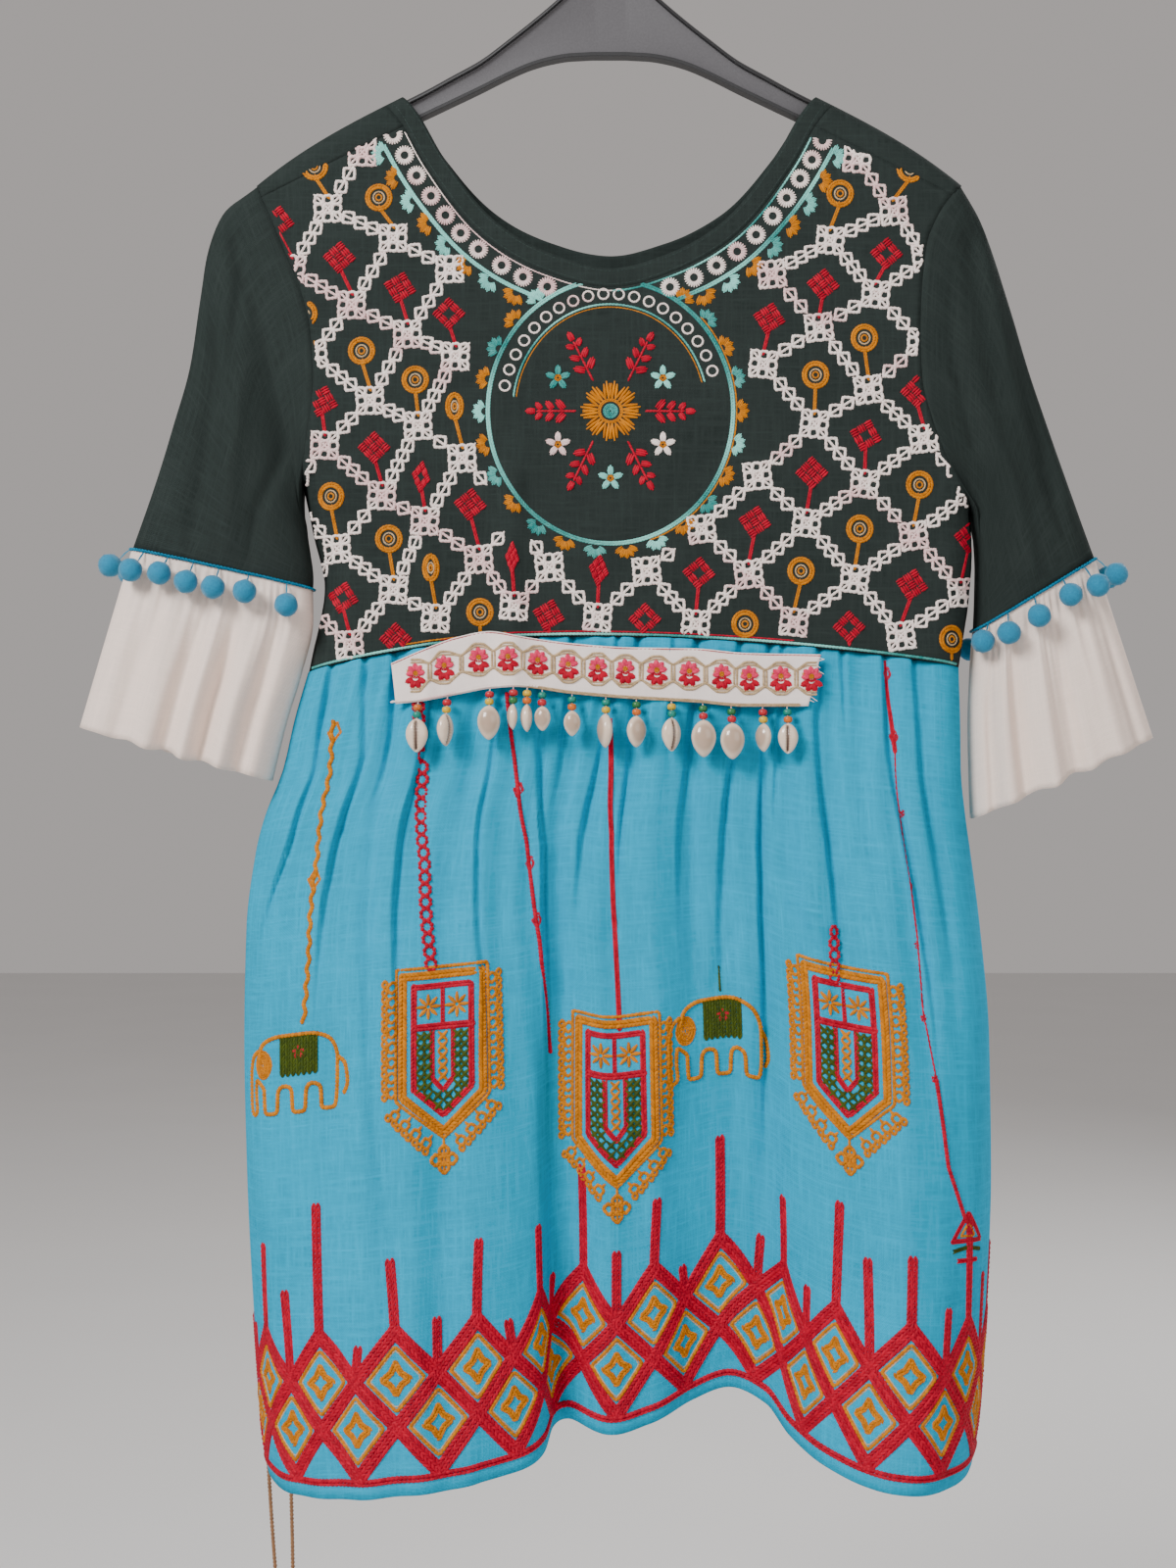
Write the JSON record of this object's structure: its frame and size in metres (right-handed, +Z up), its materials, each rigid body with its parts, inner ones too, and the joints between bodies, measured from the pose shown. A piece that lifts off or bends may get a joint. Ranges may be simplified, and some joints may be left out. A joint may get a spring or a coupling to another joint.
{
  "type": "tunic on a hanger",
  "caption": "Short-sleeved tunic with embroidered yoke, gathered skirt, frilled cuffs with pompoms and shell drops at the waist, hung on a moulded hanger.",
  "frame": {"origin": "highest point inside the hook, where the rail bears", "axes": "+Z up, the tunic's front faces -Y, +X to the right as the front is seen"},
  "size_m": [0.6815, 0.1337, 1.1181],
  "materials": {
    "black_plastic": "satin",
    "green_cotton": "woven",
    "cream_cotton": "woven",
    "turquoise_cotton": "woven",
    "blue_felt": "felt",
    "ribbon": "satin",
    "tie_cord": "twisted cord",
    "cowrie": "glossy shell"
  },
  "bodies": {
    "root": {"hanger": "black_plastic", "yoke_front": "green_cotton", "yoke_back": "green_cotton", "neck_band": "green_cotton", "sleeve_left": "green_cotton", "sleeve_right": "green_cotton", "frill_left": "cream_cotton", "frill_right": "cream_cotton", "pompom_trim_left": "blue_felt", "pompom_trim_right": "blue_felt", "skirt_front": "turquoise_cotton", "skirt_back": "turquoise_cotton", "ribbon": "ribbon", "tie_cord_outer": "tie_cord", "tie_cord_inner": "tie_cord", "tie_knot_outer": "tie_cord", "tie_knot_inner": "tie_cord", "cowrie_drop_01": "cowrie", "cowrie_drop_02": "cowrie", "cowrie_drop_03": "cowrie", "cowrie_drop_04": "cowrie", "cowrie_drop_05": "cowrie", "cowrie_drop_06": "cowrie", "cowrie_drop_07": "cowrie", "cowrie_drop_08": "cowrie", "cowrie_drop_09": "cowrie", "cowrie_drop_10": "cowrie", "cowrie_drop_11": "cowrie", "cowrie_drop_12": "cowrie", "cowrie_drop_13": "cowrie", "cowrie_drop_14": "cowrie"}
  },
  "joints": []
}
